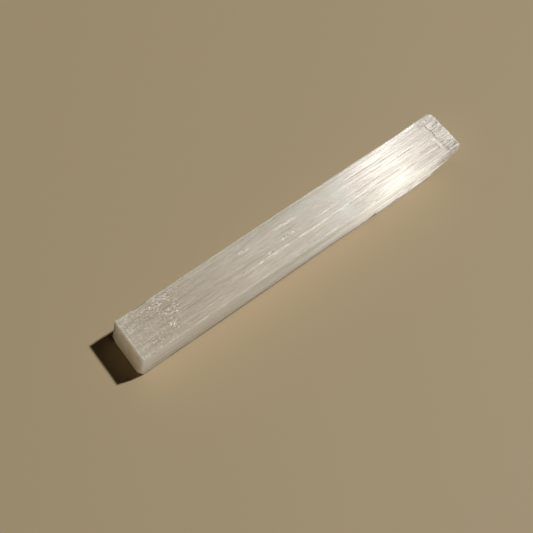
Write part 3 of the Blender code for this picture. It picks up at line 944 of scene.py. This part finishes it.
def crack_lines(tree, x, y):
    """1 along the thin dark line of each crack across the top: partly the crack, partly painted shade in
    it.
    """
    bends = tree.stretched((1, 260, 1), 2.0, 0.6, (0, 4, 0))
    place = (bends - 0.5) * 2.0 * CRACK_STRAY + (y / CRACK_WAVE).maths("SINE") * CRACK_BEND
    fade = CRACK_LIP / MM
    lines = 0.0
    for crack in CRACKS:
        low, high = crack.low / MM, crack.high / MM
        off = (x - (place + crack.place)).maths("ABSOLUTE")
        lines = off.fade(*CRACK_LINE) * y.band(low, low + fade, high - fade, high) + lines
    return lines


class Satin:
    """The finish of the long faces: fibres along X that shine in a band across them."""

    def __init__(self, finish, name, sides):
        self.finish = finish
        self.sides = sides
        self.tree = tree = Tree(name)
        self.x, self.y, self.z = (tree.place(axis) for axis in range(3))
        self.tone = tree.attribute("tone")
        self.bruise = tree.attribute("bruise")
        self.bundles = tree.stretched((22, 800, 800), 3.0, 0.55)
        self.threads = tree.stretched((80, 2600, 2600), 3.0, 0.65, (7, 3, 5))
        self.ridges = tree.stretched((10, 1300, 1300), 1.0, 0.5, (3, 6, 1))
        self.clouds = tree.stretched((26, 110, 110), 2.0, 0.5, (4, 1, 9))
        self.ends = tree.stretched((110, 1500, 1500), 2.0, 0.55, (4, 6, 2))
        self.specks = tree.stretched((950, 1500, 1500), 1.0, 0.5, (3, 9, 4))
        self.groups = tree.stretched((260, 520, 520), 1.0, 0.5, (8, 2, 6)).ramp(0.40, 0.50)
        strands = tree.stretched((30, 2600, 2600), 0.0, 0.5, (2, 7, 5)).ramp(0.58, 0.66)
        self.strands = strands * self.x.fade(0, 40)
        self.far = self.x.fade(90, 94)
        self.uneven = self.x + UNEVEN * (self.bundles - 0.5)
        self.bright = self.specks.ramp(0.55, 0.60) * (self.bruise * 2.0 * self.groups).clamped()
        if not sides:
            self.edge = 0.9 * self.y.fade(9.8, 10.4) * self.x.fade(62, 68)
            self.glints = tree.stretched((90, 2600, 2600), 0.0, 0.5, (9, 4, 7)).ramp(0.60, 0.68)

    def milk(self):
        """How milky the fibres are, before each face's own shading. It grows paler towards the band of
        sheen, which is painted light for the band's tail.
        """
        x = self.x
        grit = self.tree.stretched((1100, 2600, 2600), 2.0, 0.6, (5, 5, 8))
        milk = (grit - 0.5) * x.fade(-30, -80) * 0.4 + 0.15 * grit
        milk = milk + 0.10 * self.bundles + 0.58 * self.threads + 0.12 * self.clouds
        # Painted light: paler towards the band of sheen
        return milk + 0.05 * x.fade(-60, 0) + 0.08 * x.fade(0, 30)

    def side_colour_and_light(self):
        """Paler towards the top. Painted light makes it paler from -20 mm on, fading in from -50 mm, and
        painted shade darkens a patch at 34 to 52 mm: both shape the band of sheen.
        """
        finish, x = self.finish, self.x
        milk = 0.9 * self.milk().ramp(0.36, 0.58) - 0.42
        milk = milk + 1.2 * self.z.ramp(0.0, HEIGHT) + self.tone + 0.36 * x.fade(-50, -20)
        # Painted shade over the band of sheen at 34 to 52 mm
        milk = milk - 0.60 * self.uneven.band(34, 40, 46, 52)
        return self.tree.mix(milk.clamped(), finish.side_deep, finish.side_pale)

    def top_colour_and_light(self):
        """Milky, stained towards the sawn end, with a cloud across it. Painted shade dims it at 33 to 53
        mm and 62 to 92 mm to shape the band of sheen, and painted light lightens it towards the back
        arris.
        """
        finish, tree, x, y, uneven = self.finish, self.tree, self.x, self.y, self.uneven
        milk = (self.milk() - 0.48) * (1.0 + 0.6 * x.fade(-20, -60)) + 0.48
        # Painted shade that narrows the band of sheen
        milk = milk - 0.13 * uneven.band(33, 40, 46, 53) - 0.09 * uneven.band(62, 72, 84, 92)
        base = tree.mix(milk.ramp(0.38, 0.58) ** 1.2, finish.deep, finish.pale)
        base = tree.mix(0.75 * x.fade(-20, -75), base, finish.warm)
        cloud = 0.9 * (x - 0.35 * y).band(22, 27, 29, 38) * self.clouds.ramp(0.3, 0.6)
        base = tree.mix(cloud, base, finish.cloud)
        # Painted light towards the back arris
        painted_back_light = y.fade(7, 10.5) * (0.35 + 0.55 * x.fade(-70, -30)) - self.edge
        return tree.mix(painted_back_light, base, finish.back_edge_light)

    def base(self):
        """The colour with its dark streaks, splits, pits and cracks, and painted shade: in grooves and
        cracks, along the foot of the near side and over its far end.
        """
        tree, far = self.tree, self.far
        splits = tree.stretched((20, 2600, 2600), 0.0, 0.5, (6, 1, 3)).ramp(0.68, 0.74)
        holes = 0.5 * self.specks.ramp(0.44, 0.38) * self.bruise * self.groups
        dark = 0.75 * far * self.ends.ramp(0.46, 0.34) + (self.tone * -1.0).clamped()
        dark = dark + 0.25 * splits + holes * (1.0 + 2.0 * far) + 0.25 * self.strands + 0.06 * far
        if self.sides:
            return tree.mix(dark.clamped(), self.side_colour_and_light(), self.finish.side_depths_and_shade)
        dark = dark + 0.6 * crack_lines(tree, self.x, self.y)
        return tree.mix(dark.clamped(), self.top_colour_and_light(), self.finish.split)

    def frost(self):
        """How crushed the fibres are, and the colour of their powder. Along the back arris the powder is
        partly painted light.
        """
        finish, tree, x, far = self.finish, self.tree, self.x, self.far
        if self.sides:
            return self.bright * 0.5, finish.frost
        # Painted light in part: crushed powder along the back arris lifts the edge that the glow inside
        # leaves darker
        back_rim_frost_and_light = self.y.fade(10.5, 11.2)
        share = self.tone * (0.15 + 0.4 * self.threads.ramp(0.3, 0.55)) + self.bright
        share = share + 0.3 * self.glints + 0.4 * far * self.ends.ramp(0.52, 0.60)
        share = share + back_rim_frost_and_light * (0.85 - 0.6 * x.fade(20, 40) + 0.6 * far) - self.edge
        powder = tree.mix(far, finish.frost, finish.end_frost)
        on_rim = tree.mix(x.fade(-60, 30), finish.back_rim_frost_and_light, finish.frost)
        return share.clamped(), tree.mix(back_rim_frost_and_light, powder, on_rim)

    def relief(self):
        """The height that the gloss sees, in mm: ridges, hairs and pits on fibres that lean."""
        tree, x = self.tree, self.x
        hairs = tree.stretched((20, 20000, 20000), 0.0, 0.5, (1, 8, 2))
        height = RIDGE * self.ridges + HAIR * hairs - PIT * self.bright
        if self.sides:
            shingles = (self.z / SHINGLE + 1.5 * self.ridges).maths("FRACT")
            height = height - SHINGLE_SLOPE * SHINGLE / MM * shingles + RIB * self.tone
            return height - SHINGLE_LENGTHENS * FIBRE_TILT / MM * x
        lines = tree.stretched((260, 2200, 2200), 1.0, 0.5, (2, 3, 8)).ramp(0.42, 0.62)
        shining = 1.2 * self.tone * lines + 0.22 * self.glints + self.edge
        shining = (shining + 0.5 * self.far * self.ends.ramp(0.5, 0.6)).clamped()
        steps = (x / STEP + 2.0 * self.bundles).maths("FRACT")
        return height - (BAND - x) * steps * (STEP / MM) * shining - FIBRE_TILT / MM * x

    def material(self):
        finish, tree, sides = self.finish, self.tree, self.sides
        rough = (SIDE_ROUGHNESS if sides else ROUGHNESS) + 0.05 * self.threads + 0.10 * self.bruise
        relief = tree.node("ShaderNodeBump", {}, {
            "Height": self.relief(), "Strength": 1.0, "Distance": MM, "Filter Width": 0.001})
        silk = milky(tree, finish.glow_radius, {
            "Base Color": self.base(),
            "Roughness": (rough + 0.15 * self.strands).clamped(0.15, 0.8),
            "Specular IOR Level": SIDE_GLOSS if sides else GLOSS,
            "Specular Tint": finish.side_sheen if sides else finish.sheen,
            "Anisotropic": 1.0,
            "Normal": relief,
            "Tangent": tree.node("ShaderNodeTangent", {"direction_type": "RADIAL", "axis": "X"}),
        })
        share, powder = self.frost()
        flakes = tree.stretched((800, 1500, 1500), 0.0, 0.5, (1, 2, 3))
        facets = tree.node("ShaderNodeBump", {}, {
            "Height": flakes, "Strength": 1.0, "Distance": FACET, "Filter Width": 0.01})
        crushed = tree.plain(powder, 0.52 - 0.20 * self.bright, 1.0, facets)
        return tree.blend(share, silk, crushed)


def end_grain(finish):
    """The ends: fibre ends seen head on, matt, with painted light along the top of the sawn end and low
    down on it.
    """
    tree = Tree("fibre_ends")
    dots = tree.stretched((300, 1500, 1500), 3.0, 0.6)
    clouds = tree.stretched((60, 160, 160), 2.0, 0.5, (3, 3, 3))
    milk = (0.5 * dots + 0.5 * clouds).ramp(0.35, 0.65)
    base = tree.mix(milk, finish.deep, finish.pale)
    base = tree.mix(tree.attribute("tone").clamped(), base, finish.frost)
    bump = tree.node("ShaderNodeBump", {}, {
        "Height": dots, "Strength": 1.0, "Distance": GRAIN_DEPTH})
    grown = milky(tree, END_GLOW_RADIUS, {
        "Base Color": base, "Roughness": 0.5 + 0.2 * dots, "Specular IOR Level": 0.5,
        "Normal": bump})
    # Painted light low down on the sawn end
    foot_light = tree.plain(finish.foot_light, 0.5, 0.3)
    share = tree.place(2).fade(7, 0) * tree.place(0).fade(0, -50)
    return tree.blend(share, grown, foot_light)


def plaster(studio):
    """The floor's matt finish."""
    tree = Tree("floor_plaster")
    return tree.finish(tree.plain(studio.floor_colour, studio.floor_roughness, 0.4))


# ---------------------------------------------------------------- operators

def added(context, name, data):
    """A new object in the scene."""
    made = bpy.data.objects.new(name, data)
    context.scene.collection.objects.link(made)
    return made


class SELENITE_OT_crystal(bpy.types.Operator):
    """Model the crystal in place of its plain solid."""

    bl_idname = "selenite.crystal"
    bl_label = "Crystal"

    def execute(self, context):
        scene = context.scene
        finish = scene.satin_finish
        mesh = Crystal(scene.crystal_form).mesh()
        mesh.materials.append(Satin(finish, "satin_fibres", False).material())
        mesh.materials.append(Satin(finish, "satin_sides", True).material())
        mesh.materials.append(end_grain(finish))
        mesh.shade_smooth()
        mesh.set_sharp_from_angle(angle=SMOOTH_ANGLE)
        for face in mesh.polygons:
            near_end = abs(abs(face.center.x) - HALF_LENGTH) < END_MARGIN
            if abs(face.normal.x) > END_NORMAL and near_end:
                face.material_index = 2
            elif abs(face.normal.y) > SIDE_NORMAL:
                face.material_index = 1
        crystal = added(context, "selenite_crystal", mesh)
        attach(crystal, "root")
        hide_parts(NODE)
        return {"FINISHED"}


class SELENITE_OT_studio(bpy.types.Operator):
    """Set the floor, the lamps and the camera."""

    bl_idname = "selenite.studio"
    bl_label = "Studio"

    def execute(self, context):
        studio = context.scene.studio_setup
        self.floor(context, studio)
        self.lamps(context, studio)
        self.camera(context, studio)
        return {"FINISHED"}

    def floor(self, context, studio):
        bm = bmesh.new()
        bmesh.ops.create_grid(bm, x_segments=1, y_segments=1, size=studio.floor_size)
        bmesh.ops.translate(bm, vec=(0, 0, -studio.floor_drop), verts=bm.verts)
        mesh = bpy.data.meshes.new("floor")
        bm.to_mesh(mesh)
        bm.free()
        mesh.materials.append(plaster(studio))
        floor = added(context, "floor", mesh)

    def lamp(self, context, name, towards, distance, settings):
        """An area lamp that faces the origin."""
        light = bpy.data.lights.new(name, "AREA")
        for setting, value in settings.items():
            setattr(light, setting, value)
        lamp = added(context, name, light)
        lamp.location = towards * distance
        lamp.rotation_euler = towards.to_track_quat("Z", "Y").to_euler()

    def lamps(self, context, studio):
        azimuth, elevation = studio.key_azimuth, studio.key_elevation
        towards = Vector((
            math.cos(elevation) * math.cos(azimuth),
            math.cos(elevation) * math.sin(azimuth),
            math.sin(elevation)))
        self.lamp(context, "key", towards, studio.key_distance, {
            "shape": "DISK", "size": studio.key_size,
            "energy": studio.key_power, "color": studio.key_colour})
        towards = Vector(studio.fill_direction).normalized()
        self.lamp(context, "fill", towards, studio.fill_distance, {
            "shape": "RECTANGLE", "size": studio.fill_width, "size_y": studio.fill_height,
            "energy": studio.fill_power, "color": studio.fill_colour})
        world = bpy.data.worlds.new("studio")
        world.use_nodes = True
        background = world.node_tree.nodes["Background"]
        background.inputs["Color"].default_value = (*studio.air_colour, 1.0)
        background.inputs["Strength"].default_value = studio.air_strength
        context.scene.world = world
        context.scene.view_settings.view_transform = "Standard"

    def camera(self, context, studio):
        azimuth, elevation, roll = studio.camera_azimuth, studio.camera_elevation, studio.camera_roll
        back = Vector((
            math.sin(azimuth) * math.cos(elevation),
            -math.cos(azimuth) * math.cos(elevation),
            math.sin(elevation)))
        level = Vector((math.cos(azimuth), math.sin(azimuth), 0))
        upward = back.cross(level)
        right = math.cos(roll) * level + math.sin(roll) * upward
        up = math.cos(roll) * upward - math.sin(roll) * level
        data = bpy.data.cameras.new("camera")
        data.sensor_width = 36
        data.lens = studio.camera_lens
        data.clip_start = 0.01
        data.clip_end = 20
        place = Vector(studio.looked_at) + back * studio.camera_distance
        turn = Matrix((right, up, back)).transposed().to_4x4()
        camera = added(context, "camera", data)
        camera.matrix_world = Matrix.Translation(place) @ turn
        context.scene.camera = camera


class SELENITE_PT_panel(bpy.types.Panel):
    """Lists the crystal, its finish and the studio."""

    bl_label = "Selenite Crystal Blade"
    bl_idname = "SELENITE_PT_panel"
    bl_space_type = "VIEW_3D"
    bl_region_type = "UI"
    bl_category = "Selenite"

    def draw(self, context):
        layout = self.layout
        for operator, groups in (
                ("crystal", ("crystal_form", "satin_finish")), ("studio", ("studio_setup",))):
            layout.operator("selenite." + operator)
            for group in groups:
                settings = getattr(context.scene, group)
                for name in settings.__annotations__:
                    layout.prop(settings, name)


SETTINGS = {"crystal_form": CrystalForm, "satin_finish": SatinFinish, "studio_setup": StudioSetup}
CLASSES = (*SETTINGS.values(), SELENITE_OT_crystal, SELENITE_OT_studio, SELENITE_PT_panel)


def register():
    for cls in CLASSES:
        bpy.utils.register_class(cls)
    for name, group in SETTINGS.items():
        setattr(bpy.types.Scene, name, bpy.props.PointerProperty(type=group))


def unregister():
    for name in SETTINGS:
        delattr(bpy.types.Scene, name)
    for cls in reversed(CLASSES):
        bpy.utils.unregister_class(cls)


def main():
    register()
    bpy.ops.selenite.studio()
    bpy.ops.selenite.crystal()


if __name__ == "__main__":
    main()
